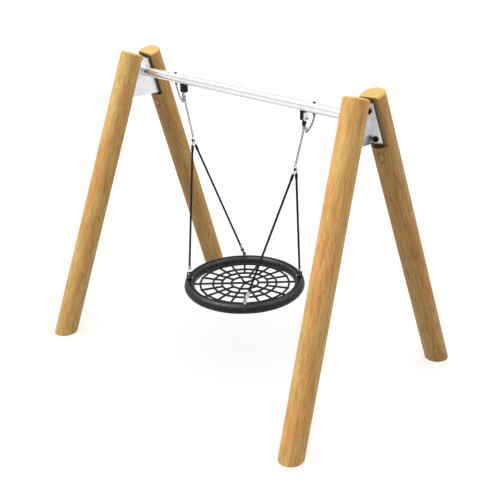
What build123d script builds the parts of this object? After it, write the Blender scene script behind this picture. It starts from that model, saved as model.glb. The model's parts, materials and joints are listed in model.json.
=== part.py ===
from build123d import *
import os
from math import cos, degrees, radians, sin

# Nest swing on a timber A-frame. Millimetres, +Z up, X along the crossbeam, -Y is the front.
# The origin is on the ground, under the middle of the crossbeam. Every right-hand piece (+X) is
# built once, and its left-hand twin is the same piece turned half a turn about Z.

# --- timber legs ---
LEG_DIAMETER = 187.0
LEG_LENGTH = 2500.0  # along its own axis, from the ground to the top cut
FOOT_X = 1341.0  # where a leg's axis meets the ground
FOOT_Y = 914.5
LEAN = radians(4.063)  # each A-frame leans in towards the seat by this much
SPREAD = radians(19.39)  # each leg from its A-frame's middle line
NOTCH_FLAT = 50.0  # from the leg's axis to the flat that is housed out for the bracket
NOTCH_LENGTH = 380.0
TOP_CHAMFER = 10.0
BELOW_GROUND = 120.0  # of the log, before it is cut level at the ground

# --- folded brackets and their coach screws ---
PLATE = 6.0
BRACKET_LOW = 1996.0  # heights measured up the leaning A-frame
BRACKET_HIGH = 2298.0
WEB_INNER = -49.0  # the web's inboard face, outboard of the A-frame's middle plane
FLANGE_EDGE = 36.0
BEND = 3.0  # inside bend radius
SCREW_HEIGHTS = (2031.0, 2241.0)
SCREW_OUT = -17.0
SCREW_D = 12.0
SCREW_REACH = 74.0  # how deep a screw goes into the leg
WASHER_D = 36.0
WASHER = 3.0
HEAD_FLATS = 19.0
HEAD = 7.5
CAP_D = 42.0
CAP_H = 16.0
CAP_WALL = 2.5
CAP_ROUND = 7.0

# --- crossbeam ---
BEAM_D = 76.1
BEAM_WALL = 3.2
BEAM_Z = 2193.6

# --- pendulum hangers ---
HANGER_X = 646.0
HOUSING_IN = 21.0  # the housing's inboard face from the hanger's middle
HOUSING_OUT = 16.0
HOUSING_Y = 50.0
HOUSING_LOW = 2090.0
SLOT_W = 22.0
SLOT_TOP = 2122.0
SIDE_PLATE = 5.0
SIDE_PLATE_TOP = 2150.0
CORNER = 11.0
AXLE_Z = 2105.0  # the line that the seat swings about
AXLE_D = 12.0
AXLE_RUNNING = 0.06  # radial running clearance of the bearing on its axle
AXLE_HEAD_D = 22.0
AXLE_HEAD = 5.0
AXLE_HEAD_ROUND = 3.0
AXLE_TAIL = 13.0  # past the side plate
AXLE_NUT = (18.0, 9.0, 24.0)  # across flats, height, washer diameter
NUT_WASHER = 2.0
BEARING_D = 26.0
BEARING_W = 20.0
LINK_W = 16.0
LINK_OUTLINE = ((7.0, 2100.0), (18.0, 2071.0), (9.0, 2043.0))
LINK_HOLE_Z = 2055.0
LINK_HOLE_D = 15.0
FACE_PLATE = 2.0
FACE_HOLE_D = 20.0

# --- shackles, main chains ---
WIRE = 7.0  # shackle wire
PIN_D = 8.0
TOP_PIN_Z = 2029.0
TOP_SHACKLE_W = 20.0  # inside width
TOP_SHACKLE_LEG = 14.5
LOW_PIN_X = 563.0
LOW_PIN_Z = 1700.0  # the line that the seat rocks about
LOW_SHACKLE_W = 21.0
LOW_SHACKLE_LEG = 17.5
LUG_R = 7.5
PIN_HEAD = 4.0
PIN_TAIL = 8.0  # past the lug, for the nut
PIN_NUT = (13.0, 5.0, 15.0)  # across flats, height, washer diameter
CHAIN_WIRE = 6.0
CHAIN_WIDTH = 9.0  # inside width of a link
CHAIN_LINKS = 17
CHAIN_X = 644.0  # where the chain sits on the top shackle's pin
SLACK = 0.4  # free play between neighbouring links
PIN_PLAY = 0.8  # of the end links on the pin and on the bow
BOW_PLAY = 1.0

# --- safety chains ---
EYE_X = 738.0
EYE_Z = 2139.0
EYE_R = 9.0  # centreline radius of the eye
EYE_WIRE = 6.0
EYE_BOLT_D = 12.0
EYE_BOLT_TAIL = 4.0  # above the beam
COLLAR_D = 24.0
EYE_CAP_R = 10.0
EYE_CAP_H = 9.0
EYE_CAP_ROUND = 5.0
SAFETY_WIRE = 5.0
SAFETY_WIDTH = 7.0
SAFETY_LINKS = 8
SAFETY_SLACK = 0.6
QUICK_X = 666.5  # the quick link that joins the safety chain to the top shackle
QUICK_LOW = 2005.0  # centreline heights of its two ends
QUICK_HIGH = 2046.0
QUICK_WIDTH = 12.0  # inside
SAG = (24.0, 40.0)  # how far in and down the slack chain's bend reaches

# --- seat ---
RIM_R = 460.0
RIM_Z = 579.0
PAD_R = 41.0
RIM_TUBE_R = 19.0
RIM_TUBE_WALL = 3.0
CORNER_ANGLES = (45, 135, 225, 315)
RIM_PIN_Z = 636.0
RIM_EYE_R = 13.0
RIM_EYE_T = 12.0
FOOT_W = 16.0
STEM = 12.0  # a square bar through the pad, down to the tube
SADDLE = 2.5  # the plate on the pad's top
SADDLE_LENGTH = 30.0
SADDLE_ENDS = 68.0, 112.0  # round the rim's section from its outer side
FIT = 0.25  # clearance between pieces that are clamped on each other
SEAT_SHACKLE_W = 22.0
SEAT_SHACKLE_LEG = 34.0
SEAT_WIRE = 11.0
SEAT_LUG_R = 11.5

# --- suspension ropes and their swaged ends ---
ROPE_D = 18.0
END_EYE_R = 10.5
END_EYE_T = 7.0
SEAT_EYE_R = 16.0
SEAT_EYE_T = 11.0
SEAT_EYE_HOLE = 14.0
END_GAP = 5.2  # each top eye from the middle of the pair
END_SHIFT = 1.4
NECK_D = 6.4
NECK_FROM = 6.0  # from the eye's middle
TOP_NECK = 42.0
SOCKET_D = 23.0
SOCKET = 45.0
SOCKET_DEPTH = 32.0
SEAT_NECK_D = 10.0
SEAT_NECK_FROM = 8.0
SEAT_NECK = 20.0
SEAT_SOCKET_D = 25.0
SEAT_SOCKET = 28.0
SEAT_SOCKET_DEPTH = 20.0
ROPE_SHORT = 1.0  # of the bottom of its socket

# --- net ---
NET_D = 18.0
NET_RINGS = (117.0, 193.0, 267.0, 373.0)
NET_STEP = 18
NET_START = 45
NET_GAP = 0.6  # between a spoke's end and the rope it meets
HUB_R = 17.5
HUB_ANGLES = (9, 81, 153, 225, 297)
HUB_PROUD = 1.0  # above and below the net's ropes

HALF_TURN = Location((0, 0, 0), (0, 0, 180))
SWAP = Plane.XZ  # front to back
FRAME = Plane(
    origin=(FOOT_X, 0, 0),
    x_dir=(cos(LEAN), 0, sin(LEAN)),
    z_dir=(-sin(LEAN), 0, cos(LEAN)),
)  # x outboard, y back, z up the right-hand A-frame
FRONT_LEG = Plane(
    origin=(0, -FOOT_Y, 0), x_dir=(1, 0, 0), z_dir=(0, sin(SPREAD), cos(SPREAD))
)  # in FRAME: z up the leg, y in towards the other leg


def placed(plane, shape):
    return plane.location * shape


def rod(diameter, start, end):
    """A straight round bar between two points."""
    start, end = Vector(*start), Vector(*end)
    along = end - start
    bar = Cylinder(diameter / 2, along.length, align=(Align.CENTER, Align.CENTER, Align.MIN))
    return placed(Plane(origin=start, z_dir=along), bar)


def x_rod(diameter, x_from, x_to, z, y=0.0):
    return rod(diameter, (x_from, y, z), (x_to, y, z))


def tube(diameter, bore, start, end):
    return rod(diameter, start, end) - rod(bore, start, end)


def hexagon(flats, height):
    return extrude(RegularPolygon(flats / 2, 6, major_radius=False), height)


def save(name, *shapes):
    solids = [solid for shape in shapes for solid in shape.solids()]
    export_step(Compound(solids) if len(solids) > 1 else solids[0], f"parts/{name}.step")


def save_pair(name, *shapes):
    """The right-hand piece, and the same piece turned round for the left."""
    save(f"{name}_right", *shapes)
    save(f"{name}_left", *[HALF_TURN * shape for shape in shapes])


# --- timber legs, brackets and coach screws ---


def flat_y(height):
    """Half the gap between the two housed flats at a height up the A-frame."""
    return FOOT_Y - height * sin(SPREAD) / cos(SPREAD) - NOTCH_FLAT / cos(SPREAD)


def screw_places():
    """The screws of one leg, in the leg's own frame, z pointing in out of the flat."""
    for height in SCREW_HEIGHTS:
        along = (height + NOTCH_FLAT * sin(SPREAD)) / cos(SPREAD)
        yield Plane(origin=(SCREW_OUT, NOTCH_FLAT, along), x_dir=(1, 0, 0), z_dir=(0, 1, 0))


def on_front_leg(shape):
    return placed(FRAME, placed(FRONT_LEG, shape))


def front_leg():
    log = rod(LEG_DIAMETER, (0, 0, -BELOW_GROUND), (0, 0, LEG_LENGTH))
    log = chamfer(log.edges().sort_by(Axis.Z)[-1], TOP_CHAMFER)
    waste = Box(LEG_DIAMETER, LEG_DIAMETER, 2 * NOTCH_LENGTH)
    log -= Pos(0, NOTCH_FLAT + LEG_DIAMETER / 2, LEG_LENGTH) * waste
    for place in screw_places():
        log -= placed(place, Pos(0, 0, -SCREW_REACH / 2) * Cylinder(SCREW_D / 2 + FIT, SCREW_REACH))
    return split(on_front_leg(log), bisect_by=Plane.XY, keep=Keep.TOP)


def bracket():
    """A web and two flanges folded from one plate, to lie against the housed flats."""

    def trapezium(low, high, inset):
        half = [(flat_y(z) - inset / cos(SPREAD), z) for z in (low, high)]
        corners = half + [(-y, z) for y, z in reversed(half)]
        return make_face(Polyline([(0, y, z) for y, z in corners], close=True))

    outer = extrude(trapezium(BRACKET_LOW, BRACKET_HIGH, 0), FLANGE_EDGE - WEB_INNER, (1, 0, 0))
    outer = Pos(WEB_INNER, 0, 0) * outer
    folds = outer.edges().filter_by(lambda e: abs(e.center().X - WEB_INNER) < 1)
    outer = fillet([e for e in folds if abs(e.center().Y) > 10], BEND + PLATE)
    inner = extrude(trapezium(BRACKET_LOW - 50, BRACKET_HIGH + 50, PLATE), 200, (1, 0, 0))
    inner = Pos(WEB_INNER + PLATE, 0, 0) * inner
    folds = inner.edges().filter_by(lambda e: abs(e.center().X - WEB_INNER - PLATE) < 1)
    inner = fillet([e for e in folds if abs(e.center().Y) > 10], BEND)
    plate = outer - inner
    for place in screw_places():
        hole = placed(FRONT_LEG, placed(place, Cylinder(SCREW_D / 2 + FIT, 4 * PLATE)))
        plate -= [hole, mirror(hole, SWAP)]
    return placed(FRAME, plate)


def coach_screw():
    """A screw, its washer and its cap. Zero is the leg's flat, and z points out of the wood."""
    under_head = PLATE + WASHER
    screw = rod(SCREW_D, (0, 0, -SCREW_REACH + 1), (0, 0, under_head))
    screw += Pos(0, 0, under_head) * hexagon(HEAD_FLATS, HEAD)
    washer = tube(WASHER_D, SCREW_D + 1, (0, 0, PLATE), (0, 0, under_head))
    cap = rod(CAP_D, (0, 0, PLATE), (0, 0, PLATE + CAP_H))
    cap = fillet(cap.edges().sort_by(Axis.Z)[-1], CAP_ROUND)
    cap -= rod(CAP_D - 2 * CAP_WALL, (0, 0, 0), (0, 0, PLATE + CAP_H - CAP_WALL - 1))
    return screw, washer, cap


def fastened(piece):
    """A fastener at each of the four screw places of the right-hand A-frame."""
    front = [on_front_leg(placed(place, piece)) for place in screw_places()]
    return front + [mirror(shape, SWAP) for shape in front]


# --- crossbeam and hangers ---


def crossbeam():
    half = FOOT_X
    beam = x_rod(BEAM_D, -half, half, BEAM_Z) - x_rod(BEAM_D - 2 * BEAM_WALL, -half, half, BEAM_Z)
    beyond = Pos(WEB_INNER + 250, 0, BEAM_Z) * Box(500, 500, 500)
    beyond = placed(FRAME, beyond)
    beam -= [beyond, HALF_TURN * beyond]
    for x in (-EYE_X, EYE_X):
        beam -= Pos(x, 0, BEAM_Z) * Cylinder(EYE_BOLT_D / 2 + FIT, 2 * BEAM_D)
    return beam


def block(x_from, x_to, width, z_from, z_to):
    size = Box(x_to - x_from, width, z_to - z_from)
    return Pos((x_from + x_to) / 2, 0, (z_from + z_to) / 2) * size


def rounded_below(shape):
    """Rounds the two lowest edges that run along X."""
    return fillet(shape.edges().filter_by(Axis.X).group_by(Axis.Z)[0], CORNER)


def hanger_housing():
    inner, outer = HANGER_X - HOUSING_IN, HANGER_X + HOUSING_OUT
    body = rounded_below(block(inner, outer, HOUSING_Y, HOUSING_LOW, BEAM_Z))
    body -= x_rod(BEAM_D, inner - 1, outer + 1, BEAM_Z)
    half = SLOT_W / 2
    body -= block(HANGER_X - half, HANGER_X + half, 2 * HOUSING_Y, HOUSING_LOW - half, SLOT_TOP)
    return body - x_rod(AXLE_D + 2 * FIT, inner - 1, outer + 1, AXLE_Z)


def side_plate():
    inner = HANGER_X + HOUSING_OUT
    plate = rounded_below(
        block(inner, inner + SIDE_PLATE, HOUSING_Y, HOUSING_LOW, SIDE_PLATE_TOP)
    )
    return plate - x_rod(AXLE_D + 2 * FIT, inner - 1, inner + SIDE_PLATE + 1, AXLE_Z)


def axle_bolt():
    inner = HANGER_X - HOUSING_IN
    outer = HANGER_X + HOUSING_OUT + SIDE_PLATE
    head = x_rod(AXLE_HEAD_D, inner - AXLE_HEAD, inner, AXLE_Z)
    head = fillet(head.edges().sort_by(Axis.X)[0], AXLE_HEAD_ROUND)
    return head + x_rod(AXLE_D, inner, outer + AXLE_TAIL, AXLE_Z)


def nut_on_x(x, z, bolt_d, nut_size):
    """A washer and a nut on a bolt along X; their inboard face is at x."""
    flats, height, washer_d = nut_size
    plane = Plane(origin=(x, 0, z), z_dir=(1, 0, 0))
    bore = Cylinder((bolt_d + FIT) / 2, 4 * height)
    nut = Pos(0, 0, NUT_WASHER) * hexagon(flats, height) - bore
    washer = rod(washer_d, (0, 0, 0), (0, 0, NUT_WASHER)) - bore
    return [placed(plane, washer), placed(plane, nut)]


def hanger_bearing():
    half = BEARING_W / 2
    ends = (HANGER_X - half, 0, AXLE_Z), (HANGER_X + half, 0, AXLE_Z)
    return tube(BEARING_D, AXLE_D + 2 * AXLE_RUNNING, *ends)


def link_profile(x_from, thickness, hole):
    """The hanger's diamond link, cut away round the bearing and holed for the shackle."""
    right = [(0, y, z) for y, z in LINK_OUTLINE]
    left = [(0, -y, z) for y, z in reversed(LINK_OUTLINE)]
    link = extrude(make_face(Polyline(right + left, close=True)), thickness, (1, 0, 0))
    link = Pos(x_from, 0, 0) * link
    ends = x_from - 1, x_from + thickness + 1
    link -= x_rod(BEARING_D + 2 * FIT, *ends, AXLE_Z)
    return link - x_rod(hole, *ends, LINK_HOLE_Z)


# --- shackles and chains ---


def half_ring(radius, wire, z):
    """The upper half of a ring that stands in the XZ plane."""
    return Pos(0, 0, z) * Rot(90, 0, 0) * Torus(radius, wire / 2, major_angle=180, align=None)


def shackle(width, leg, wire, lug_r):
    """A D shackle: its pin lies along X through the origin, and its bow is up."""
    side = (width + wire) / 2
    bow = half_ring(side, wire, leg)
    for x in (-side, side):
        bow += rod(wire, (x, 0, 0), (x, 0, leg))
        bow += x_rod(2 * lug_r, x - wire / 2, x + wire / 2, 0)
    return bow - x_rod(PIN_D + FIT, -2 * side, 2 * side, 0)


def shackle_bolt(width, wire, tail):
    """A shackle's bolt along X through the origin, its head outboard and its nut inboard."""
    side = width / 2 + wire
    bolt = x_rod(PIN_D, -side - PIN_TAIL, side + tail, 0)
    bolt += x_rod(1.5 * PIN_D, side + tail, side + tail + PIN_HEAD, 0)
    return [bolt] + [HALF_TURN * piece for piece in nut_on_x(side, 0, PIN_D, PIN_NUT)]


def chain_link(length, width, wire):
    """One link, standing along Z in the XZ plane. Length and width are inside sizes."""
    r = (width + wire) / 2
    straight = (length - width) / 2
    end = half_ring(r, wire, straight)
    link = end + Rot(180, 0, 0) * end
    for x in (-r, r):
        link += rod(wire, (x, 0, -straight), (x, 0, straight))
    return link


def chain(path, first, last, count, width, wire, slack):
    """Links along a path in the XZ plane, each turned a quarter turn from the one before.
    first and last are how far the end links reach past the path's two ends."""
    pitch = (path.length + first + last - wire - slack) / count
    link = chain_link(pitch + slack, width, wire)
    start = (pitch + slack + wire) / 2 - first
    links = []
    for i in range(count):
        at = (start + i * pitch) / path.length
        plane = Plane(origin=path @ at, x_dir=(0, 1, 0), z_dir=path % at)
        links.append(placed(plane, Rot(0, 0, 90 * (i % 2)) * link))
    return links


def main_chain():
    bow_z = LOW_PIN_Z + LOW_SHACKLE_LEG + (LOW_SHACKLE_W + WIRE) / 2
    path = Line((CHAIN_X, 0, TOP_PIN_Z), (LOW_PIN_X, 0, bow_z))
    on_pin = (PIN_D + CHAIN_WIRE) / 2 + PIN_PLAY
    on_bow = (WIRE + CHAIN_WIRE) / 2 + BOW_PLAY
    return chain(path, on_pin, on_bow, CHAIN_LINKS, CHAIN_WIDTH, CHAIN_WIRE, SLACK)


def safety_chain():
    """The slack chain from the eye under the beam to the quick link on the top shackle's bolt."""
    top, low = (EYE_X, 0, EYE_Z - EYE_R), (QUICK_X, 0, QUICK_LOW)
    path = Bezier(top, (EYE_X - SAG[0], 0, QUICK_LOW + SAG[1]), low)
    on_eye = (EYE_WIRE + SAFETY_WIRE) / 2 + BOW_PLAY
    on_quick = SAFETY_WIRE + BOW_PLAY / 2
    return chain(path, on_eye, on_quick, SAFETY_LINKS, SAFETY_WIDTH, SAFETY_WIRE, SAFETY_SLACK)


def safety_quick_link():
    """An oval link round the top shackle's bolt, with play for the swing."""
    inside = QUICK_HIGH - QUICK_LOW - SAFETY_WIRE
    link = Rot(0, 0, 90) * chain_link(inside, QUICK_WIDTH, SAFETY_WIRE)
    return Pos(QUICK_X, 0, (QUICK_LOW + QUICK_HIGH) / 2) * link


def safety_eye_bolt():
    """A bolt down through the beam, with a collar under it and an eye below."""
    under, over = BEAM_Z - BEAM_D / 2, BEAM_Z + BEAM_D / 2
    eye = Pos(EYE_X, 0, EYE_Z) * Rot(90, 0, 0) * Torus(EYE_R, EYE_WIRE / 2)
    collar = rod(COLLAR_D, (EYE_X, 0, EYE_Z + EYE_R), (EYE_X, 0, under))
    shank = rod(EYE_BOLT_D, (EYE_X, 0, under), (EYE_X, 0, over + EYE_BOLT_TAIL))
    return eye + collar + shank


def safety_eye_cap():
    over = BEAM_Z + BEAM_D / 2
    cap = rod(2 * EYE_CAP_R, (EYE_X, 0, over), (EYE_X, 0, over + EYE_CAP_H))
    cap = fillet(cap.edges().sort_by(Axis.Z)[-1], EYE_CAP_ROUND)
    hollow = over + EYE_BOLT_TAIL + FIT
    return cap - rod(EYE_BOLT_D + FIT, (EYE_X, 0, over - 1), (EYE_X, 0, hollow))


# --- seat ---


def corner_point(angle):
    return Vector(RIM_R * cos(radians(angle)), RIM_R * sin(radians(angle)), RIM_PIN_Z)


def rope_top(angle):
    """The middle of the top eye of the rope that holds the corner at this angle."""
    side = 1 if cos(radians(angle)) > 0 else -1
    front = -1 if sin(radians(angle)) < 0 else 1
    return Vector(side * (LOW_PIN_X + END_SHIFT) + front * END_GAP, 0, LOW_PIN_Z)


def rope_run(angle):
    """A corner's pin, the way up its rope, and the distance to the top eye."""
    low, top = corner_point(angle), rope_top(angle)
    return low, (top - low).normalized(), (top - low).length


def corner_plane(angle):
    """A corner's own frame: z up its rope, x along the shackle pin, away from the rim's middle."""
    low, up, _ = rope_run(angle)
    radial = Vector(cos(radians(angle)), sin(radians(angle)), 0)
    return Plane(origin=low, x_dir=radial - up * radial.dot(up), z_dir=up)


def seat_bow():
    """How far a seat shackle's bow is from its pin."""
    return SEAT_SHACKLE_LEG + (SEAT_SHACKLE_W + SEAT_WIRE) / 2


def rim_clamp(angle):
    """An eye on a foot and a saddle, whose stem goes through the pad and is welded to the tube."""
    inner, outer = PAD_R + FIT, PAD_R + FIT + SADDLE
    ends = [radians(a) for a in (SADDLE_ENDS[0], 90, SADDLE_ENDS[1])]
    over, under = [
        ThreePointArc(*[(r * cos(a), r * sin(a)) for a in ends]) for r in (outer, inner)
    ]
    section = make_face([over, under, Line(over @ 0, under @ 0), Line(over @ 1, under @ 1)])
    turn = degrees(SADDLE_LENGTH / RIM_R)
    saddle = Rot(0, 0, angle - turn / 2) * about_z(section, turn)
    foot_low = RIM_Z + inner + SADDLE / 3
    foot = upright(angle, RIM_EYE_T, FOOT_W, foot_low, RIM_PIN_Z - PIN_D)
    foot += upright(angle, STEM, STEM, RIM_Z + RIM_TUBE_R + FIT, foot_low + SADDLE / 3)
    half = RIM_EYE_T / 2
    eye = placed(corner_plane(angle), x_rod(2 * RIM_EYE_R, -half, half, 0))
    hole = placed(corner_plane(angle), x_rod(PIN_D + FIT, -2 * half, 2 * half, 0))
    return saddle + foot + eye - hole


def upright(angle, thickness, width, z_from, z_to):
    """A square-edged bar at a corner, its thickness across the rim."""
    low = corner_point(angle)
    bar = block(-thickness / 2, thickness / 2, width, z_from, z_to)
    return Pos(low.X, low.Y, 0) * Rot(0, 0, angle) * bar


def about_z(section, turn):
    """A section of the rim, swept round the seat's middle."""
    return revolve(Plane.XZ * (Pos(RIM_R, RIM_Z) * section), Axis.Z, turn)


def net_angles():
    return range(NET_START, NET_START + 360, NET_STEP)


def spoke(angle, r_from, r_to):
    direction = Vector(cos(radians(angle)), sin(radians(angle)), 0)
    lift = Vector(0, 0, RIM_Z)
    start, end = direction * r_from + lift, direction * r_to + lift
    return rod(NET_D, tuple(start), tuple(end))


def net_spokes():
    """Rope lengths between the rings. Every second spoke goes out to the rim's pad."""
    gap = NET_D / 2 + NET_GAP
    first, second, third, fourth = NET_RINGS
    rim = RIM_R - PAD_R - FIT
    lengths = []
    for i, angle in enumerate(net_angles()):
        stops = [second, third, fourth]
        if i % 2 == 0:
            stops = [first] + stops
            lengths.append(spoke(angle, fourth + gap, rim))
            if angle % 360 in HUB_ANGLES:
                lengths.append(spoke(angle, HUB_R, first - gap))
        for low, high in zip(stops, stops[1:]):
            lengths.append(spoke(angle, low + gap, high - gap))
    return lengths


def net_rings():
    return [Pos(0, 0, RIM_Z) * Torus(r, NET_D / 2) for r in NET_RINGS]


def rim_pad():
    """The foam round the tube, with a hole for each stem."""
    pad = about_z(Circle(PAD_R) - Circle(RIM_TUBE_R + FIT), 360)
    for angle in CORNER_ANGLES:
        pad -= upright(angle, STEM + 2 * FIT, STEM + 2 * FIT, RIM_Z, RIM_Z + 2 * PAD_R)
    return pad


def rim_tube():
    return about_z(Circle(RIM_TUBE_R) - Circle(RIM_TUBE_R - RIM_TUBE_WALL), 360)


def rope_seat_end(angle):
    """A swaged end: an eye round the shackle's bow, then a neck and a socket up the rope."""
    half = SEAT_EYE_T / 2
    mouth = SEAT_NECK + SEAT_SOCKET
    eye = x_rod(2 * SEAT_EYE_R, -half, half, 0)
    eye += rod(SEAT_NECK_D, (0, 0, SEAT_NECK_FROM), (0, 0, SEAT_NECK + 1))
    eye += rod(SEAT_SOCKET_D, (0, 0, SEAT_NECK), (0, 0, mouth))
    eye -= rod(ROPE_D + 2 * FIT, (0, 0, mouth - SEAT_SOCKET_DEPTH), (0, 0, mouth + 1))
    eye -= x_rod(SEAT_EYE_HOLE, -2 * half, 2 * half, 0)
    return placed(corner_plane(angle), Pos(0, 0, seat_bow()) * eye)


def rope_top_end(angle):
    """The eye stands square to the shackle's pin, and the neck and socket follow the rope."""
    low, up, _ = rope_run(angle)
    top = rope_top(angle)
    half = END_EYE_T / 2
    eye = x_rod(2 * END_EYE_R, top.X - half, top.X + half, top.Z)
    reach = [top - up * d for d in (NECK_FROM, TOP_NECK + 1, TOP_NECK, TOP_NECK + SOCKET)]
    eye += rod(NECK_D, tuple(reach[0]), tuple(reach[1]))
    eye += rod(SOCKET_D, tuple(reach[2]), tuple(reach[3]))
    mouth = [top - up * (TOP_NECK + SOCKET + d) for d in (-SOCKET_DEPTH, 1)]
    eye -= rod(ROPE_D + 2 * FIT, tuple(mouth[0]), tuple(mouth[1]))
    return eye - x_rod(PIN_D + 2 * FIT, top.X - 2 * half, top.X + 2 * half, top.Z)


def rope(angle):
    low, up, length = rope_run(angle)
    from_low = seat_bow() + SEAT_NECK + SEAT_SOCKET - SEAT_SOCKET_DEPTH + ROPE_SHORT
    from_top = TOP_NECK + SOCKET - SOCKET_DEPTH + ROPE_SHORT
    return rod(ROPE_D, tuple(low + up * from_low), tuple(low + up * (length - from_top)))


def at_corners(maker):
    return [maker(angle) for angle in CORNER_ANGLES]


# --- the assembly ---

os.makedirs("parts", exist_ok=True)

leg = front_leg()
save("leg_front_right", leg)
save("leg_back_right", mirror(leg, SWAP))
save("leg_back_left", HALF_TURN * leg)
save("leg_front_left", HALF_TURN * mirror(leg, SWAP))
save_pair("bracket", bracket())
screw, washer, cap = coach_screw()
save_pair("coach_screws", *fastened(screw))
save_pair("screw_washers", *fastened(washer))
save_pair("screw_caps", *fastened(cap))

save("crossbeam", crossbeam())
save_pair("hanger_housing", hanger_housing())
save_pair("hanger_side_plate", side_plate())
save_pair("axle_bolt", axle_bolt())
side_face = HANGER_X + HOUSING_OUT + SIDE_PLATE
save_pair("axle_nut", *nut_on_x(side_face, AXLE_Z, AXLE_D, AXLE_NUT))
save_pair("safety_eye_bolt", safety_eye_bolt())
save_pair("safety_eye_cap", safety_eye_cap())

save_pair("hanger_bearing", hanger_bearing())
link_in = HANGER_X - LINK_W / 2
save_pair("pendulum_link", link_profile(link_in, LINK_W, LINK_HOLE_D))
face = link_profile(link_in - FACE_PLATE, FACE_PLATE, FACE_HOLE_D)
save("link_face_plates", face, HALF_TURN * face)

top_place = Pos(HANGER_X, 0, TOP_PIN_Z)
quick_room = QUICK_X + SAFETY_WIRE / 2 + 1 - (HANGER_X + TOP_SHACKLE_W / 2 + WIRE)
save_pair("top_shackle", top_place * shackle(TOP_SHACKLE_W, TOP_SHACKLE_LEG, WIRE, LUG_R))
top_bolt = shackle_bolt(TOP_SHACKLE_W, WIRE, quick_room)
save_pair("top_shackle_bolt", *[top_place * piece for piece in top_bolt])
save_pair("chain", *main_chain())
low_place = Pos(LOW_PIN_X, 0, LOW_PIN_Z)
save_pair("lower_shackle", low_place * shackle(LOW_SHACKLE_W, LOW_SHACKLE_LEG, WIRE, LUG_R))
low_bolt = shackle_bolt(LOW_SHACKLE_W, WIRE, 0)
save_pair("lower_shackle_bolt", *[low_place * piece for piece in low_bolt])
save_pair("safety_chain", *safety_chain())
save_pair("safety_quick_link", safety_quick_link())

save("rope_back_right", rope(45))
save("rope_back_left", rope(135))
save("rope_front_left", rope(225))
save("rope_front_right", rope(315))
save("rope_top_ends", *at_corners(rope_top_end))
save("rope_seat_ends", *at_corners(rope_seat_end))
seat_shackle = shackle(SEAT_SHACKLE_W, SEAT_SHACKLE_LEG, SEAT_WIRE, SEAT_LUG_R)
save("seat_shackles", *at_corners(lambda angle: placed(corner_plane(angle), seat_shackle)))
seat_bolt = Compound(shackle_bolt(SEAT_SHACKLE_W, SEAT_WIRE, 0))
save("seat_shackle_bolts", *at_corners(lambda angle: placed(corner_plane(angle), seat_bolt)))
save("rim_clamps", *at_corners(rim_clamp))
save("rim_tube", rim_tube())
save("rim_pad", rim_pad())
save("net_rings", *net_rings())
save("net_spokes", *net_spokes())
hub_half = NET_D / 2 + HUB_PROUD
save("net_hub", rod(2 * HUB_R, (0, 0, RIM_Z - hub_half), (0, 0, RIM_Z + hub_half)))
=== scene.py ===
import json
import math

import bpy
import numpy as np
from mathutils import Matrix, Vector, noise


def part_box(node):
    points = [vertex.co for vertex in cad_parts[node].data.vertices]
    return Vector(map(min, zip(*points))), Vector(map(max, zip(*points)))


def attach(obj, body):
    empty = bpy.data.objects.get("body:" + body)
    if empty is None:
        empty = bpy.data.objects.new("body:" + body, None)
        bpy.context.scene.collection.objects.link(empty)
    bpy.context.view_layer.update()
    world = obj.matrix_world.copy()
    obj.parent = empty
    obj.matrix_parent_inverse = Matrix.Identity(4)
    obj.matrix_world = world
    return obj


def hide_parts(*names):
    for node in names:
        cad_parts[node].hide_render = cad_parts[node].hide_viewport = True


# Nest swing on a timber A-frame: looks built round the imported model. Metres, +Z up, -Y is the front.
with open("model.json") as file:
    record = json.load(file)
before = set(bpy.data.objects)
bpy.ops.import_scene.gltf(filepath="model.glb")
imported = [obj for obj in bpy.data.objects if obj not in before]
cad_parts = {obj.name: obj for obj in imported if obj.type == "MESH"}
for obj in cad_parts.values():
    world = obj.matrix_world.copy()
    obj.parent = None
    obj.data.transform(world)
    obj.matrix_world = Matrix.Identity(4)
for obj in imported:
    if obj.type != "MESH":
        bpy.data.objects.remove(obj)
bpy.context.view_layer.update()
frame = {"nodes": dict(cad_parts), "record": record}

MM = 0.001
UP = Vector((0, 0, 1))

LEAN = math.radians(4.063)  # each A-frame leans in by this much
SPREAD = math.radians(19.39)  # each leg from its A-frame's middle line
FLAT = 50 * MM  # from a leg's axis to its housed flat
SHELF = 2.12  # how far up a leg the flat's lower end is
LEG_TOP = 2.5

rim_low, rim_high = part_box("rim_pad")
PAD_RADIUS = (rim_high.z - rim_low.z) / 2  # of the rim's round section
RIM_RADIUS = rim_high.x - PAD_RADIUS  # of the section's middle, round the seat
RIM_HEIGHT = (rim_low.z + rim_high.z) / 2
SEAT_CORNERS = (45, 135, 225, 315)  # where the rim hangs, in degrees round the seat


# --- camera and stage ---

WORLD_STRENGTH = 0.80
FLOOR_HALF = 60
FLOOR_DROP = 0.5 * MM  # keeps the floor's face off the feet
LIGHTS = (("key", (-4.4, -4.4, 15.4), 5750), ("fill", (6.0, 5.5, 14.4), 2050))  # name, place, watts
LIGHT_AIM = (0, 0, 1.1)
LIGHT_SIZE = 7.8


def add_camera():
    """A slightly high view from the front right, as long as a short telephoto."""
    azimuth, elevation, distance = math.radians(41.891), math.radians(23.7345), 6.9758
    target = Vector((0.2195, 0.3266, 0.8645))
    level = math.cos(elevation)
    back = Vector((math.sin(azimuth) * level, -math.cos(azimuth) * level, math.sin(elevation)))
    data = bpy.data.cameras.new("camera")
    data.sensor_width = 36
    data.lens = 60.243
    data.shift_x = -0.0808
    data.shift_y = -0.0061
    camera = bpy.data.objects.new("camera", data)
    camera.location = target + back * distance
    camera.rotation_mode = "QUATERNION"
    camera.rotation_quaternion = (-back).to_track_quat("-Z", "Y")
    bpy.context.scene.collection.objects.link(camera)
    bpy.context.scene.camera = camera


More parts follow.
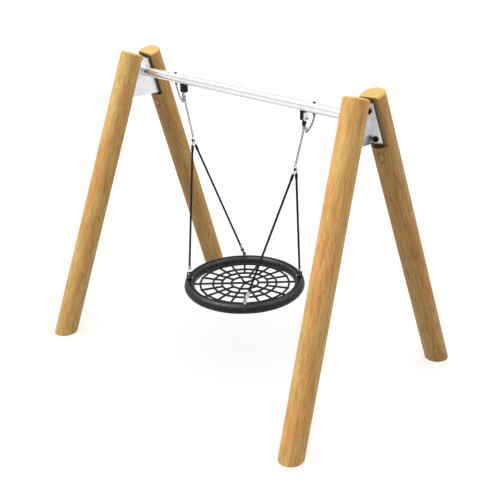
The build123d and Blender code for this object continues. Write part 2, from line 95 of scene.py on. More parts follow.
def add_world():
    world = bpy.data.worlds.new("studio")
    world.use_nodes = True
    background = world.node_tree.nodes["Background"]
    background.inputs["Color"].default_value = (1.0, 1.0, 1.0, 1)
    background.inputs["Strength"].default_value = WORLD_STRENGTH
    bpy.context.scene.world = world
    bpy.context.scene.view_settings.view_transform = "Standard"


def floor_paint():
    """A pale floor that glows a little, more so far away, so that it stays white to the horizon."""
    graph = Graph("floor_paint")
    graph.set(Base_Color=(0.55, 0.55, 0.55, 1), Roughness=0.9)
    graph.set(Emission_Strength=1.0, Specular_IOR_Level=0.2)
    tens_of_metres = graph.times(graph.length(graph.coords()), 0.1)
    glow = graph.grey(tens_of_metres, (0.2, 0.62), (0.7, 0.76))
    graph.feed(graph.shader.inputs["Emission Color"], glow)
    return graph.finish()


def add_floor():
    signs = ((-1, -1), (1, -1), (1, 1), (-1, 1))
    corners = [(x * FLOOR_HALF, y * FLOOR_HALF, -FLOOR_DROP) for x, y in signs]
    floor = add_mesh("floor", corners, [(0, 1, 2, 3)], floor_paint())
    return floor


def add_lights(floor):
    """Round soft lights that light the object but not the floor, which keeps the floor evenly white."""
    lit = bpy.data.collections.new("all_but_the_floor")
    lit.objects.link(floor)
    lit.collection_objects[0].light_linking.link_state = "EXCLUDE"
    for name, place, power in LIGHTS:
        data = bpy.data.lights.new(name, "AREA")
        data.shape = "DISK"
        data.size = LIGHT_SIZE
        data.energy = power
        lamp = bpy.data.objects.new(name, data)
        lamp.location = place
        lamp.rotation_mode = "QUATERNION"
        lamp.rotation_quaternion = (Vector(LIGHT_AIM) - Vector(place)).to_track_quat("-Z", "Y")
        bpy.context.scene.collection.objects.link(lamp)
        lamp.light_linking.receiver_collection = lit


# --- a material being put together ---


class Graph:
    """The nodes of one material. Its methods add a node and return the output that is wanted."""

    def __init__(self, name):
        self.material = bpy.data.materials.new(name)
        self.material.use_nodes = True
        self.tree = self.material.node_tree
        self.shader = self.tree.nodes["Principled BSDF"]

    def set(self, **values):
        for name, value in values.items():
            self.shader.inputs[name.replace("_", " ")].default_value = value

    def node(self, kind, inputs=None, **settings):
        made = self.tree.nodes.new("ShaderNode" + kind)
        for name, value in settings.items():
            setattr(made, name, value)
        for name, value in (inputs or {}).items():
            self.feed(made.inputs[name], value)
        return made

    def feed(self, socket, value):
        if isinstance(value, bpy.types.NodeSocket):
            self.tree.links.new(value, socket)
        else:
            socket.default_value = value

    def coords(self, kind="Object"):
        return self.node("TexCoord").outputs[kind]

    def math(self, operation, a, b=0.0, clamp=False):
        return self.node("Math", {0: a, 1: b}, operation=operation, use_clamp=clamp).outputs[0]

    def add(self, a, b, clamp=False):
        return self.math("ADD", a, b, clamp)

    def times(self, a, b):
        return self.math("MULTIPLY", a, b)

    def above(self, value, limit):
        return self.math("GREATER_THAN", value, limit)

    def vector(self, operation, a, b):
        return self.node("VectorMath", {0: a, 1: b}, operation=operation).outputs[0]

    def length(self, vector):
        return self.node("VectorMath", {0: vector}, operation="LENGTH").outputs["Value"]

    def dot(self, a, b):
        return self.node("VectorMath", {0: a, 1: b}, operation="DOT_PRODUCT").outputs["Value"]

    def axes(self, vector):
        return self.node("SeparateXYZ", {0: vector}).outputs

    def scaled(self, coords, scale):
        return self.node("Mapping", {"Vector": coords, "Scale": scale}).outputs[0]

    def noise(self, coords, scale, detail=3.0, roughness=0.55):
        values = {"Vector": coords, "Scale": scale, "Detail": detail, "Roughness": roughness}
        return self.node("TexNoise", values).outputs["Fac"]

    def ramp(self, value, *stops):
        made = self.node("ValToRGB", {"Fac": value})
        elements = made.color_ramp.elements
        while len(elements) < len(stops):
            elements.new(0.5)
        for element, (place, colour) in zip(elements, stops):
            element.position = place
            element.color = (*colour, 1)
        return made.outputs["Color"]

    def grey(self, value, *stops):
        return self.ramp(value, *[(place, neutral(level)) for place, level in stops])

    def mix(self, amount, a, b, blend="MIX"):
        made = self.node("Mix", data_type="RGBA", blend_type=blend)
        sockets = [s for s in made.inputs if s.enabled]
        for socket, value in zip(sockets, (amount, a, b)):
            if isinstance(value, tuple):
                value = (*value, 1)
            self.feed(socket, value)
        return [s for s in made.outputs if s.enabled][0]

    def bump(self, height, depth, strength, under=None):
        values = {"Height": height, "Distance": depth, "Strength": strength}
        if under is not None:
            values["Normal"] = under
        return self.node("Bump", values).outputs[0]

    def finish(self, colour=None, roughness=None, normal=None):
        for name, value in (("Base Color", colour), ("Roughness", roughness), ("Normal", normal)):
            if value is not None:
                self.feed(self.shader.inputs[name], value)
        return self.material


def neutral(level):
    return (level, level, level)


# --- timber ---

TIMBER_LIGHT = (0.40, 0.262, 0.088)
TIMBER_AMBER = (0.41, 0.190, 0.052)
TIMBER_BROWN = (0.19, 0.108, 0.034)
# each log's own tint, together with painted light and shade: the front legs lighter, the back legs darker
LEG_TONES_AND_SHADE = {
    "front_left": (1.04, 1.07, 1.05),
    "front_right": (1.11, 1.08, 1.03),
    "back_left": (0.90, 0.90, 0.88),
    "back_right": (0.90, 0.90, 0.86),
}
RING_WIDTH = 5.2 * MM
KNOT_PLACE = (-22 * MM, 91 * MM, SHELF - 78 * MM)
KNOT_RADIUS = 44 * MM


def leg_matrix(foot):
    """The frame of the leg that stands at foot: z up the leg, y towards the other leg of its A-frame."""
    side = 1 if foot.x > 0 else -1
    front = -1 if foot.y < 0 else 1
    lean = Matrix.Rotation(-side * LEAN, 3, "Y")
    spread = Matrix.Rotation(front * SPREAD, 3, "X")
    turn = Matrix.Rotation(0 if front < 0 else math.pi, 3, "Z")
    return Matrix.Translation(foot) @ (lean @ spread @ turn).to_4x4()


def tinted(colour, tone_and_shade):
    return tuple(c * t for c, t in zip(colour, tone_and_shade))


def growth_rings(graph, log, moved):
    """0 to 1 across each growth ring, round a pith that wanders."""
    stretched = graph.scaled(moved, (1.2, 1.2, 0.9))
    wander = graph.node("TexNoise", {"Vector": stretched, "Scale": 1.6, "Detail": 1.0}).outputs["Color"]
    drift = graph.vector("MULTIPLY", graph.vector("SUBTRACT", wander, neutral(0.5)), (0.12, 0.12, 0.0))
    ripple = graph.noise(graph.scaled(moved, (9, 9, 0.8)), 3.0, 2.0)
    radius = graph.length(graph.vector("MULTIPLY", graph.vector("ADD", log, drift), (1, 1, 0.018)))
    radius = graph.add(radius, graph.times(ripple, 10 * MM))
    return graph.math("FRACT", graph.times(radius, 1 / RING_WIDTH))


def log_side(graph, moved, ring, light, amber, brown):
    """Colour, roughness and bump of the turned side: patches, late wood, fibres, streaks and pores."""
    fibre = graph.noise(graph.scaled(moved, (1, 1, 0.022)), 420.0, 4.0, 0.65)
    streak = graph.noise(graph.scaled(moved, (1, 1, 0.10)), 60.0, 3.0, 0.6)
    patch = graph.noise(graph.scaled(moved, (1, 1, 0.22)), 15.0, 2.0, 0.5)
    pore = graph.noise(graph.scaled(moved, (1, 1, 0.035)), 900.0, 1.0, 0.5)
    pore = graph.grey(pore, (0.60, 0.0), (0.72, 1.0))
    late = graph.grey(ring, (0.0, 0.15), (0.55, 0.35), (0.86, 1.0), (1.0, 0.1))
    dark = graph.times(late, 0.30)
    dark = graph.add(dark, graph.times(graph.grey(fibre, (0.42, 0.0), (0.66, 1.0)), 0.40))
    dark = graph.add(dark, graph.times(graph.grey(streak, (0.44, 0.0), (0.66, 1.0)), 0.45))
    dark = graph.add(dark, graph.times(pore, 0.25), clamp=True)
    colour = graph.mix(graph.grey(patch, (0.38, 0.0), (0.62, 1.0)), light, amber)
    colour = graph.mix(dark, colour, brown)
    rough = graph.grey(streak, (0.3, 0.55), (0.7, 0.70))
    height = graph.add(graph.times(late, -0.4), graph.times(fibre, 0.9))
    height = graph.math("SUBTRACT", height, pore)
    return colour, rough, graph.bump(height, 0.5 * MM, 0.6)


def knot(graph, log, colour, brown):
    """A pale knot with darker rings, just under the housed flat."""
    off = graph.vector("SUBTRACT", log, KNOT_PLACE)
    away = graph.length(graph.vector("MULTIPLY", off, (1.25, 0.6, 0.75)))
    away = graph.add(away, graph.times(graph.noise(log, 30.0, 1.0), 8 * MM))
    size = graph.times(away, 1 / KNOT_RADIUS)
    inside = graph.grey(size, (0.0, 0.25), (0.40, 0.45), (0.64, 0.0))
    rings = graph.grey(size, (0.0, 0.5), (0.16, 0.0), (0.50, 0.0), (0.68, 0.8), (0.84, 0.6), (1.0, 0.0))
    colour = graph.mix(inside, colour, (0.44, 0.29, 0.11))
    return graph.mix(rings, colour, brown)


def end_grain(graph, log, ring):
    """The sawn top: rings of pale early wood and brown late wood, and specks."""
    rings = graph.grey(ring, (0.0, 0.0), (0.60, 0.3), (0.9, 0.9), (1.0, 0.0))
    sawn = graph.mix(rings, (0.275, 0.19, 0.056), (0.16, 0.098, 0.026))
    speckle = graph.noise(log, 700.0, 2.0)
    return graph.mix(graph.grey(speckle, (0.5, 0.0), (0.7, 0.35)), sawn, (0.15, 0.09, 0.03))


def housing_painted_shade(graph, log, facing, high, outboard_sign):
    """Painted shade on the housing: deepest inboard, fading 36 to 75 mm outboard, less on the shelf."""
    x, y, z = graph.axes(log)
    housed = graph.times(graph.above(y, FLAT - MM), graph.above(z, SHELF - 0.5 * MM))
    shelf = graph.math("SUBTRACT", graph.above(facing, 0.8), high, clamp=True)
    housed = graph.math("MAXIMUM", housed, graph.times(shelf, 0.45))
    shaded_part = graph.times(housed, graph.math("LESS_THAN", z, LEG_TOP - 12 * MM))
    outboard = graph.times(x, outboard_sign)
    depth = graph.grey(graph.times(outboard, 10), (0.36, 0.85), (0.50, 0.45), (0.75, 0.08))
    return graph.times(shaded_part, depth)


def timber(name, foot, shift, tone_and_shade):
    """A turned log in its own leg's frame. shift gives each leg its own figure; tone tints it, partly the
    log's own colour and partly painted light and shade.
    """
    graph = Graph(name)
    graph.set(Specular_IOR_Level=0.22)
    matrix = leg_matrix(foot)
    inverse = matrix.inverted()
    place = {
        "Vector": graph.coords(),
        "Location": inverse.translation,
        "Rotation": inverse.to_3x3().to_euler(),
    }
    log = graph.node("Mapping", place).outputs[0]
    moved = graph.vector("ADD", log, (shift * 7.0, shift * 3.0, shift * 1.7))
    light = tinted(TIMBER_LIGHT, tone_and_shade)
    amber = tinted(TIMBER_AMBER, tone_and_shade)
    brown = tinted(TIMBER_BROWN, tone_and_shade)
    ring = growth_rings(graph, log, moved)
    colour, rough, normal = log_side(graph, moved, ring, light, amber, brown)
    colour = knot(graph, log, colour, brown)
    facing = graph.dot(graph.coords("Normal"), matrix.to_3x3() @ UP)  # 1 where a face looks up the leg
    high = graph.above(graph.axes(log)["Z"], SHELF + 50 * MM)  # clear of the shelf
    top = graph.times(graph.grey(facing, (0.75, 0.0), (0.90, 1.0)), high)
    colour = graph.mix(top, colour, end_grain(graph, log, ring))
    painted_shade = housing_painted_shade(graph, log, facing, high, math.copysign(1, -foot.x * foot.y))
    # painted shade: darkens the housed flat and its shelf
    colour = graph.mix(painted_shade, colour, (0.03, 0.02, 0.008))
    return graph.finish(colour, rough, normal)


# --- metal, plastic, rope and cloth ---

BARE_FROM = 690 * MM  # above this height the seat's fittings are bare steel at every corner
FRONT_RIGHT_FROM = 0.35  # beyond this, along the line to the front right, they are bare zinc at any height: painted reflection
COVER_SEAM_RADIUS = 455 * MM  # the rim cover's lengthwise seam, round the seat
COVER_SEAM_FROM = 600 * MM  # its painted shade is only on the rim's top, above this height


def steel(name, colour, roughness, grain=(1, 1, 1), metallic=1.0, spangle=0.0):
    """Metal with fine scratches, small dents and, where it is galvanised, crystals of zinc."""
    graph = Graph(name)
    graph.set(Metallic=metallic)
    coords = graph.coords()
    fine = graph.noise(graph.scaled(coords, grain), 260.0, 4.0, 0.6)
    broad = graph.noise(coords, 14.0, 2.0)
    shade = graph.mix(graph.grey(broad, (0.3, 0.0), (0.7, 1.0)), colour, tuple(c * 0.86 for c in colour))
    if spangle:
        cells = graph.node("TexVoronoi", {"Vector": coords, "Scale": 90.0}, distance="CHEBYCHEV")
        crystal = graph.grey(cells.outputs["Color"], (0.2, 1.0 - spangle), (0.8, 1.0))
        shade = graph.mix(1.0, shade, crystal, "MULTIPLY")
    rough = graph.grey(fine, (0.3, roughness * 0.8), (0.7, roughness * 1.25))
    return graph.finish(shade, rough, graph.bump(fine, 0.08 * MM, 0.5))


def plastic(name, level, roughness, gloss=0.16):
    """Moulded or powder-coated black: an even fine grain and slightly rubbed patches."""
    graph = Graph(name)
    graph.set(Specular_IOR_Level=gloss)
    coords = graph.coords()
    grain = graph.noise(coords, 900.0, 2.0, 0.5)
    rubbed = graph.noise(coords, 30.0, 3.0, 0.6)
    worn = graph.grey(rubbed, (0.45, 0.0), (0.75, 1.0))
    shade = graph.mix(worn, neutral(level), neutral(level * 1.8 + 0.001))
    rough = graph.grey(rubbed, (0.3, roughness), (0.7, roughness * 0.82))
    return graph.finish(shade, rough, graph.bump(grain, 0.10 * MM, 0.6))


def rope_yarn(name, level, worn_level):
    """Polyester strands: yarns that run with the lay, and a dusty, slightly shiny surface."""
    graph = Graph(name)
    graph.set(Specular_IOR_Level=0.14)
    wave = {"Vector": graph.coords("UV"), "Scale": 1.0, "Distortion": 1.2, "Detail": 2.0}
    yarn = graph.node("TexWave", wave, bands_direction="DIAGONAL").outputs["Fac"]
    dust = graph.noise(graph.coords(), 120.0, 4.0, 0.7)
    worn = neutral(worn_level)
    shade = graph.mix(graph.grey(yarn, (0.0, 0.0), (1.0, 0.6)), neutral(level), worn)
    shade = graph.mix(graph.grey(dust, (0.5, 0.0), (0.8, 0.6)), shade, worn)
    rough = graph.grey(dust, (0.3, 0.55), (0.7, 0.8))
    return graph.finish(shade, rough, graph.bump(yarn, 0.35 * MM, 0.8))


def cover_seam_shade(graph, coords):
    """Painted shade along the rim cover's lengthwise seam: 1 at the seam, fading out over 10 mm on each
    side.
    """
    ring = graph.length(graph.vector("MULTIPLY", coords, (1, 1, 0)))
    off = graph.math("ABSOLUTE", graph.math("SUBTRACT", ring, COVER_SEAM_RADIUS))
    seam = graph.grey(graph.times(off, 60), (0.20, 1.0), (0.60, 0.0))
    return graph.times(seam, graph.above(graph.axes(coords)["Z"], COVER_SEAM_FROM))


def cover_fabric(name):
    """The rim's cover: coated cloth with a fine leathery grain, paler where it is rubbed, with painted shade
    along its lengthwise seam.
    """
    graph = Graph(name)
    coords = graph.coords()
    cells = graph.node("TexVoronoi", {"Vector": coords, "Scale": 650.0}, feature="SMOOTH_F1")
    grain = cells.outputs["Distance"]
    rubbed = graph.noise(coords, 16.0, 4.0, 0.65)
    shade = graph.mix(graph.grey(rubbed, (0.40, 0.0), (0.72, 1.0)), neutral(0.007), neutral(0.014))
    shade = graph.mix(graph.grey(grain, (0.2, 0.0), (0.9, 0.35)), shade, neutral(0.004))
    seam = cover_seam_shade(graph, coords)
    # painted shade: darkens the cover along its lengthwise seam
    shade = graph.mix(seam, shade, neutral(0.001))
    graph.feed(graph.shader.inputs["Specular IOR Level"], graph.grey(seam, (0.0, 0.22), (1.0, 0.04)))
    rough = graph.grey(rubbed, (0.3, 0.55), (0.7, 0.43))
    wrinkle = graph.bump(graph.noise(coords, 60.0, 3.0, 0.5), 0.6 * MM, 0.35)
    return graph.finish(shade, rough, graph.bump(grain, 0.18 * MM, 0.7, wrinkle))


def corner_steel(name):
    """Black-coated steel at three of the seat's corners; bare zinc at the front right one as painted
    reflection, and above 690 mm at every corner.
    """
    graph = Graph(name)
    graph.set(Specular_IOR_Level=0.2)
    coords = graph.coords()
    # the front right corner's bare zinc is painted reflection
    front_right = graph.above(graph.dot(coords, (1, -1, 0)), FRONT_RIGHT_FROM)
    bare_and_reflection = graph.math("MAXIMUM", front_right, graph.above(graph.axes(coords)["Z"], BARE_FROM))
    fine = graph.noise(coords, 240.0, 4.0, 0.6)
    scratch = graph.grey(fine, (0.4, 0.0), (0.7, 1.0))
    zinc = graph.mix(scratch, (0.62, 0.62, 0.60), (0.36, 0.36, 0.35))
    coated = graph.mix(scratch, neutral(0.004), neutral(0.009))
    graph.feed(graph.shader.inputs["Metallic"], bare_and_reflection)
    rough = graph.grey(fine, (0.3, 0.26), (0.7, 0.40))
    return graph.finish(graph.mix(bare_and_reflection, coated, zinc), rough, graph.bump(fine, 0.08 * MM, 0.5))


def slot_materials():
    """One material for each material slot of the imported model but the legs'."""
    galvanised = steel("galvanised_plate", (0.82, 0.82, 0.835), 0.30, metallic=0.85, spangle=0.10)
    return {
        "galvanised_plate": galvanised,
        "zinc_steel": steel("zinc_steel", (0.74, 0.75, 0.77), 0.28),
        "beam_steel": steel("beam_steel", neutral(0.86), 0.22, grain=(0.05, 1, 1), metallic=0.95),
        "black_coated_steel": plastic("black_coated_steel", 0.004, 0.40),
        "black_plastic": plastic("black_plastic", 0.002, 0.45, gloss=0.07),
        "shackle_steel": steel("shackle_steel", (0.55, 0.55, 0.53), 0.24),
        "chain_steel": steel("chain_steel", (0.30, 0.30, 0.31), 0.34),
        "black_rope": rope_yarn("black_rope", 0.004, 0.012),
        "net_rope": rope_yarn("net_rope", 0.003, 0.010),
        "rim_cover": cover_fabric("rim_cover"),
    }


# --- meshes ---


def add_mesh(name, points, faces, material, uvs=None):
    data = bpy.data.meshes.new(name)
    data.from_pydata([tuple(p) for p in points], [], faces)
    data.shade_smooth()
    if uvs is not None:
        layer = data.uv_layers.new(name="along")
        for loop in data.loops:
            layer.data[loop.index].uv = uvs[loop.vertex_index]
    data.materials.append(material)
    data.validate()
    made = bpy.data.objects.new(name, data)
    bpy.context.scene.collection.objects.link(made)
    return made


def round_angles(count):
    return [2 * math.pi * i / count for i in range(count)]


def gauss(x, width):
    return math.exp(-((x / width) ** 2))


class Surface:
    """Points and faces gathered from several pieces of one mesh."""

    def __init__(self):
        self.points, self.faces, self.uvs = [], [], []

    def grid(self, rows, closed_rows=False, uvs=None):
        """Rings of points, each closed on itself. closed_rows joins the last ring to the first."""
        start, count, around = len(self.points), len(rows), len(rows[0])
        for row in rows:
            self.points.extend(row)
        self.uvs.extend(uvs or [(0, 0)] * (count * around))
        for i in range(count if closed_rows else count - 1):
            a, b = start + i * around, start + (i + 1) % count * around
            for j in range(around):
                k = (j + 1) % around
                self.faces.append((a + j, a + k, b + k, b + j))
        if not closed_rows:
            self.faces.append(tuple(start + j for j in reversed(range(around))))
            last = start + (count - 1) * around
            self.faces.append(tuple(last + j for j in range(around)))

    def build(self, name, material):
        return add_mesh(name, self.points, self.faces, material, self.uvs)


# --- laid rope ---

STRANDS = 6
STRAND_SHARE = 0.42  # a strand's radius as a share of the rope's
ROPE_STEP = 4 * MM  # between two rings of a rope's points
YARN_WIDTH = 2.5 * MM


def strand_radius(angle, radius):
    """How far out a laid rope's surface is: the outline of round strands side by side."""
    strand = radius * STRAND_SHARE
    pitch = 2 * math.pi / STRANDS
    off = (angle + pitch / 2) % pitch - pitch / 2
    centre = radius - strand
    return centre * math.cos(off) + math.sqrt(max(strand**2 - (centre * math.sin(off)) ** 2, 0.0))


def closed_lay(path, lay):
    """The lay nearest to the given one with which the strands of a closed rope meet again."""
    length = sum((path[i + 1] - path[i]).length for i in range(len(path) - 1))
    length += (path[0] - path[-1]).length
    return length / (round(length / lay * STRANDS) / STRANDS)


def laid_rope(surface, path, up, radius, lay, sides=30, closed=False, swell=None):
    """A laid rope along a path: its strands turn once round in each length of lay."""
    count = len(path)
    rows, uvs, run = [], [], 0.0
    if closed:
        lay = closed_lay(path, lay)
    for i, point in enumerate(path):
        ahead = path[(i + 1) % count] if closed or i < count - 1 else point
        behind = path[i - 1] if closed or i > 0 else point
        along = (ahead - behind).normalized()
        side = along.cross(up).normalized()
        over = side.cross(along)
        if i:
            run += (point - path[i - 1]).length
        turn = 2 * math.pi * run / lay
        grow = swell(i) if swell else 1.0
        row = []
        for j, angle in enumerate(round_angles(sides)):
            r = strand_radius(angle - turn, radius) * grow
            row.append(point + (side * math.cos(angle) + over * math.sin(angle)) * r)
            uvs.append((j / sides * STRANDS * 2, run / YARN_WIDTH))
        rows.append(row)
    surface.grid(rows, closed, uvs)


def straight(start, end):
    count = max(2, math.ceil((end - start).length / ROPE_STEP) + 1)
    return [start.lerp(end, i / (count - 1)) for i in range(count)]


# --- suspension ropes ---

ROPE_DIAMETER = 18 * MM
ROPE_LAY = 108 * MM


def node_line(name):
    """The two ends of a straight round bar's axis, read from its CAD node."""
    points = np.array([v.co for v in frame["nodes"][name].data.vertices])
    middle = points.mean(0)
    along = np.linalg.svd(points - middle, full_matrices=False)[2][0]
    along *= math.copysign(1, along[2])
    reach = (points - middle) @ along
    low = points[reach < reach.min() + MM].mean(0)
    high = points[reach > reach.max() - MM].mean(0)
    return Vector(low), Vector(high)


def add_suspension_ropes(material):
    for front in ("front", "back"):
        for side in ("left", "right"):
            node = f"rope_{front}_{side}"
            low, high = node_line(node)
            path = straight(low, high)
            surface = Surface()
            laid_rope(surface, path, Vector((0, 1, 0)), ROPE_DIAMETER / 2, ROPE_LAY)
            rope = surface.build(f"laid_rope_{front}_{side}", material)
            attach(rope, "seat")
            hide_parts(node)


# --- net ---

NET_RADIUS = 9 * MM
NET_LAY = 80 * MM
NET_SIDES = 24
NET_RINGS = (117 * MM, 193 * MM, 267 * MM, 373 * MM)
SPOKES = 20
NET_STEP = math.radians(18)  # between two spokes
NET_START = math.radians(45)
NET_TIGHT = 0.85  # how nearly straight a ring's rope runs between two crossings
NET_SWELL = 0.2  # how much thicker a ring's rope is where a spoke passes through it
NET_SWELL_LENGTH = 11 * MM
INTO_PAD = 6 * MM  # how far a spoke goes into the rim's pad
INTO_HUB = 2 * MM


def ring_path(radius, step, height):
    """A ring's rope, pulled nearly straight between the spokes that cross it."""
    path = []
    for angle in round_angles(round(2 * math.pi * radius / ROPE_STEP)):
        off = (angle - NET_START) % step - step / 2
        pulled = math.cos(step / 2) / math.cos(off)
        r = radius * (1 - NET_TIGHT + NET_TIGHT * pulled)
        path.append(Vector((r * math.cos(angle), r * math.sin(angle), height)))
    return path


def crossing_swell(path, step):
    """A rope opens a little where a spoke passes between its strands."""

    def swell(i):
        angle = math.atan2(path[i].y, path[i].x)
        off = (angle - NET_START + step / 2) % step - step / 2
        away = off * path[i].to_2d().length
        return 1 + NET_SWELL * gauss(away, NET_SWELL_LENGTH)

    return swell


def net_rings(height):
    """The four rings. The innermost is crossed by every second spoke."""
    rings = Surface()
    for i, radius in enumerate(NET_RINGS):
        step = 2 * NET_STEP if i == 0 else NET_STEP
        path = ring_path(radius, step, height)
        swell = crossing_swell(path, step)
        laid_rope(rings, path, UP, NET_RADIUS, NET_LAY, NET_SIDES, closed=True, swell=swell)
    return rings


def net_spokes(height, hub_radius):
    """Five spokes from hub to rim, five from the first ring to the rim, ten between two rings."""
    spokes = Surface()
    for i in range(SPOKES):
        angle = NET_START + i * NET_STEP
        out = Vector((math.cos(angle), math.sin(angle), 0))
        inner, outer = NET_RINGS[1], NET_RINGS[3]
        if i % 2 == 0:
            inner, outer = NET_RINGS[0], RIM_RADIUS - PAD_RADIUS + INTO_PAD
        if i % 4 == 2:
            inner = hub_radius - INTO_HUB
        path = straight(out * inner + UP * height, out * outer + UP * height)
        laid_rope(spokes, path, UP, NET_RADIUS, NET_LAY, NET_SIDES)
    return spokes


def add_net(material, hub_material):
    low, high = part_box("net_rings")
    height = (low.z + high.z) / 2
    hub_low, hub_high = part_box("net_hub")
    hub_radius = (hub_high.x - hub_low.x) / 2
    pieces = (
        (net_rings(height), "net_ring_ropes", "net_rings"),
        (net_spokes(height, hub_radius), "net_spoke_ropes", "net_spokes"),
    )
    for surface, name, node in pieces:
        made = surface.build(name, material)
        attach(made, "seat")
        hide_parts(node)
    add_hub(hub_material, (hub_low + hub_high) / 2, hub_radius, (hub_high.z - hub_low.z) / 2)


def lathe(surface, centre, outline, sides=40):
    """Turns an outline of (radius, height) points round a vertical line through centre."""
    rows = []
    for radius, height in outline:
        turns = [(math.cos(angle), math.sin(angle)) for angle in round_angles(sides)]
        rows.append([centre + Vector((radius * x, radius * y, height)) for x, y in turns])
    surface.grid(rows)


def add_hub(material, centre, radius, half):
    """The moulded hub that the five inner ropes go into, its outline in shares of radius and half height."""
    outline = [(0.30, -1.0), (0.75, -1.0), (0.93, -0.86), (1.0, -0.6), (1.0, -0.15), (0.96, 0.0)]
    outline += [(1.0, 0.15), (1.0, 0.6), (0.93, 0.86), (0.75, 1.0), (0.52, 1.0)]
    outline += [(0.46, 0.9), (0.30, 0.9)]
    surface = Surface()
    lathe(surface, centre, [(r * radius, z * half) for r, z in outline])
    hub = surface.build("net_hub_moulding", material)
    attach(hub, "seat")
    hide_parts("net_hub")


# --- padded rim ---

# Angles round the section are in degrees, up and in from the rim's outer side.
SEAM_ANGLES = (0, 90, 180, 270)  # round the seat: where two lengths of the cover are sewn together
ENTRY_ANGLES = tuple(45 + 36 * i for i in range(10))  # round the seat: where spokes go into the pad
PIPED_AT = 97  # round the section: the cover's lengthwise seam
LACED_AT = 220  # round the section: where the cover is laced shut
COVER_SECTIONS = 72
SEAM_ROWS = 12  # finer rings of points on each side of a seam
SEAM_ROW_STEP = 0.12  # degrees

LACES = 104
LACE_RADIUS = 3.2 * MM
LACE_HALF = (1.1, 8)  # half a lace's reach, in degrees round the seat and round the section
LACE_PROUD = 1.2 * MM  # from the cover to the middle of the cord

STITCHES = 52  # in each row round the section
STITCH_LENGTH = 4.6  # degrees round the section
STITCH_RADIUS = 0.6 * MM
STITCH_OFFSET = 5.5 * MM  # from a row to its seam
STITCH_PROUD = 0.35 * MM


def nearest(angle, angles):
    """Signed degrees from angle to the nearest of the angles."""
    return min(((angle - a + 180) % 360 - 180 for a in angles), key=abs)


def arc(angle, angles, radius):
    """Signed length along an arc from an angle to the nearest of the angles."""
    return math.radians(nearest(angle, angles)) * radius


def cover_height(around, section):
    """How far the cover stands out of its round section, at angles round the seat and the section."""
    to_seam = arc(around, SEAM_ANGLES, RIM_RADIUS)
    to_clamp = arc(around, SEAT_CORNERS, RIM_RADIUS)
    entry_ring = RIM_RADIUS - PAD_RADIUS
    to_entry = math.hypot(arc(around, ENTRY_ANGLES, entry_ring), arc(section, (180,), PAD_RADIUS))
    to_lacing = arc(section, (LACED_AT,), PAD_RADIUS)
    to_piping = arc(section, (PIPED_AT,), PAD_RADIUS)
    fold = math.sin(math.radians(section) * 13 + 1.3 * math.sin(math.radians(around) * 9))
    # full between the clamps, drawn in at each seam with a turned edge beside it
    height = 1.3 * MM * (1 - gauss(to_clamp, 34 * MM))
    height -= 1.6 * MM * gauss(to_seam, 1.8 * MM)
    height += 0.6 * MM * gauss(abs(to_seam) - 6 * MM, 4 * MM)
    # gathered folds at the seams and beside the clamps
    height += 0.7 * MM * fold * math.exp(-abs(to_seam) / (22 * MM)) * (1 - gauss(to_seam, 5 * MM))
    height += 0.55 * MM * fold * gauss(abs(to_clamp) - 22 * MM, 9 * MM)
    # grooves under the lacing and along the lengthwise seam, and a pucker where each spoke goes in
    height -= 2.0 * MM * gauss(to_lacing, 2.4 * MM)
    height -= 3.4 * MM * gauss(to_piping, 4.6 * MM)
    height -= 2.8 * MM * gauss(to_entry, 14 * MM)
    # soft unevenness, except where a clamp presses
    place = Vector((math.cos(math.radians(around)), math.sin(math.radians(around)), section / 57))
    height += 0.8 * MM * noise.noise(place * 7) * (1 - gauss(to_clamp, 20 * MM))
    return height


def on_cover(around, section, proud=0.0):
    """A point on the cover, or this far above it."""
    out = Vector((math.cos(math.radians(around)), math.sin(math.radians(around)), 0))
    r = PAD_RADIUS + cover_height(around, section) + proud
    s = math.radians(section)
    return out * (RIM_RADIUS + r * math.cos(s)) + Vector((0, 0, RIM_HEIGHT + r * math.sin(s)))


def add_rim(material, thread_material):
    arounds = set(range(360))
    for seam in SEAM_ANGLES:
        steps = range(-SEAM_ROWS, SEAM_ROWS + 1)
        arounds |= {round((seam + k * SEAM_ROW_STEP) % 360, 3) for k in steps}
    sections = [360 * j / COVER_SECTIONS for j in range(COVER_SECTIONS)]
    surface = Surface()
    rows = [[on_cover(around, section) for section in sections] for around in sorted(arounds)]
    surface.grid(rows, closed_rows=True)
    cover = surface.build("rim_cover_ring", material)
    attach(cover, "seat")
    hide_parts("rim_pad")
    add_stitches(thread_material)
    add_lacing(thread_material)


def capsule(surface, start, end, radius, sides=6):
    """A short stitch, tapered at both ends."""
    along = (end - start).normalized()
    side = along.orthogonal().normalized()
    over = side.cross(along)
    rows = []
    for share, grow in ((0.0, 0.35), (0.2, 0.9), (0.5, 1.0), (0.8, 0.9), (1.0, 0.35)):
        centre = start.lerp(end, share)
        outs = [side * math.cos(angle) + over * math.sin(angle) for angle in round_angles(sides)]
        rows.append([centre + out * radius * grow for out in outs])
    surface.grid(rows)


def add_stitches(material):
    """A row of stitches on each side of every seam across the rim."""
    surface = Surface()
    for seam in SEAM_ANGLES:
        for side in (-1, 1):
            around = seam + side * math.degrees(STITCH_OFFSET / RIM_RADIUS)
            for j in range(STITCHES):
                section = 360 * j / STITCHES
                start = on_cover(around, section, STITCH_PROUD)
                end = on_cover(around, section + STITCH_LENGTH, STITCH_PROUD)
                capsule(surface, start, end, STITCH_RADIUS)
    stitches = surface.build("rim_stitches", material)
    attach(stitches, "seat")


def add_lacing(material):
    """The cord that laces the cover shut along the rim's inner side, in slanting stitches."""
    surface = Surface()
    half_around, half_section = LACE_HALF
    for i in range(LACES):
        around = 360 * (i + 0.5) / LACES
        start = on_cover(around - half_around, LACED_AT - half_section, LACE_PROUD)
        end = on_cover(around + half_around, LACED_AT + half_section, LACE_PROUD)
        capsule(surface, start, end, LACE_RADIUS, 10)
    lacing = surface.build("rim_lacing", material)
    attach(lacing, "seat")


# --- welds ---

BEAD_RADIUS = 3.2 * MM
BEAD_ROWS = 240
BEAD_SIDES = 12


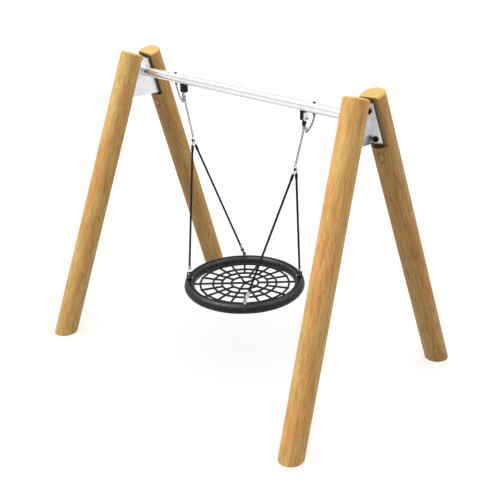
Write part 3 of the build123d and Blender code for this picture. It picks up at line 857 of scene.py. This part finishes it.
def add_welds(material):
    """A rippled bead round each end of the crossbeam, where it is welded to its bracket's web."""
    low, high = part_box("crossbeam")
    radius, beam_z = (high.z - low.z) / 2, (high.z + low.z) / 2
    reach = high.x - radius * math.tan(LEAN)
    for name, side in (("right", 1), ("left", -1)):
        surface, rows = Surface(), []
        inward = Vector((-side, 0, 0))
        for angle in round_angles(BEAD_ROWS):
            out = Vector((0, math.sin(angle), math.cos(angle)))
            bead = BEAD_RADIUS * (1 + 0.16 * abs(math.sin(angle * 38)) + 0.12 * math.sin(angle * 5))
            x = reach - radius * math.cos(angle) * math.tan(LEAN)
            centre = Vector((side * x, 0, beam_z)) + out * radius
            section = round_angles(BEAD_SIDES)
            rows.append([centre + (out * math.cos(a) + inward * math.sin(a)) * bead for a in section])
        surface.grid(rows, closed_rows=True)
        weld = surface.build(f"weld_bead_{name}", material)
        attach(weld, "frame")


# --- the assembly ---


def give(node, material):
    for slot in frame["nodes"][node].material_slots:
        slot.material = material


def paint_nodes(materials):
    """A material for every CAD node: by its slot, and then the few that differ from their slot."""
    for part in frame["record"]["subparts"]:
        if part["material_slot"] in materials:
            give(part["node"], materials[part["material_slot"]])
    corner_material = corner_steel("corner_steel")
    for node in ("seat_shackles", "rope_seat_ends"):
        give(node, corner_material)
    give("rope_top_ends", materials["black_coated_steel"])
    dark_chain = steel("dark_chain_steel", (0.10, 0.095, 0.09), 0.36)
    for side in ("left", "right"):
        give(f"safety_chain_{side}", dark_chain)
    mounts = frame["record"]["mounts"]
    feet = {mount["name"].removeprefix("foot_"): Vector(mount["pos_m"]) for mount in mounts}
    for i, (leg, tone_and_shade) in enumerate(LEG_TONES_AND_SHADE.items()):
        give(f"leg_{leg}", timber(f"timber_{leg}", feet[leg], 1.0 + i, tone_and_shade))


add_camera()
add_world()
add_lights(add_floor())
materials = slot_materials()
paint_nodes(materials)
add_suspension_ropes(materials["black_rope"])
add_net(materials["net_rope"], materials["black_plastic"])
add_rim(materials["rim_cover"], plastic("seam_thread", 0.006, 0.6))
add_welds(steel("weld_bead", (0.55, 0.55, 0.57), 0.35))
